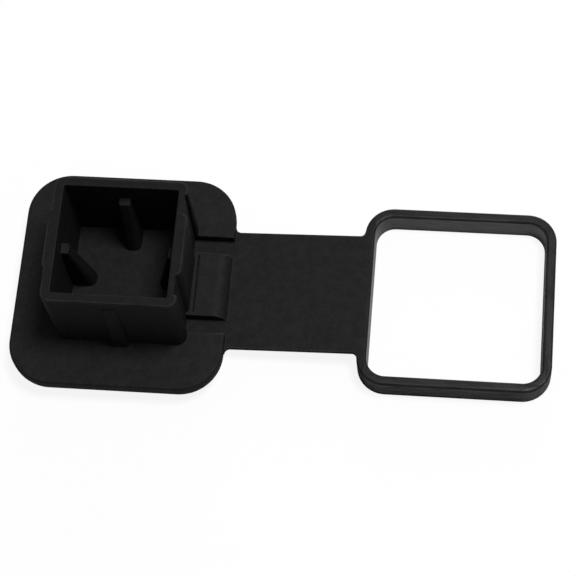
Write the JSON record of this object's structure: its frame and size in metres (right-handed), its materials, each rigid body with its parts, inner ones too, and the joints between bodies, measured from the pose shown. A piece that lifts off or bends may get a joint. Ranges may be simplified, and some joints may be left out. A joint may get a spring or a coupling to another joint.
{
  "type": "hitch receiver cover",
  "caption": "One-piece moulded rubber cover for a square towing receiver: thick rounded plate, hollow push-in plug with inner fins, flat strap and square retaining ring.",
  "frame": {"origin": "on the plate's outer face, under the axis of the plug", "axes": "+Z along the plug's axis from the outer face to the plug's open end, +X along the strap from the plate to the ring, +Y across the strap"},
  "size_m": [0.1985, 0.084, 0.048],
  "materials": {
    "rubber": "matte moulded"
  },
  "bodies": {
    "root": {"receiver_cover": "rubber"}
  },
  "joints": []
}
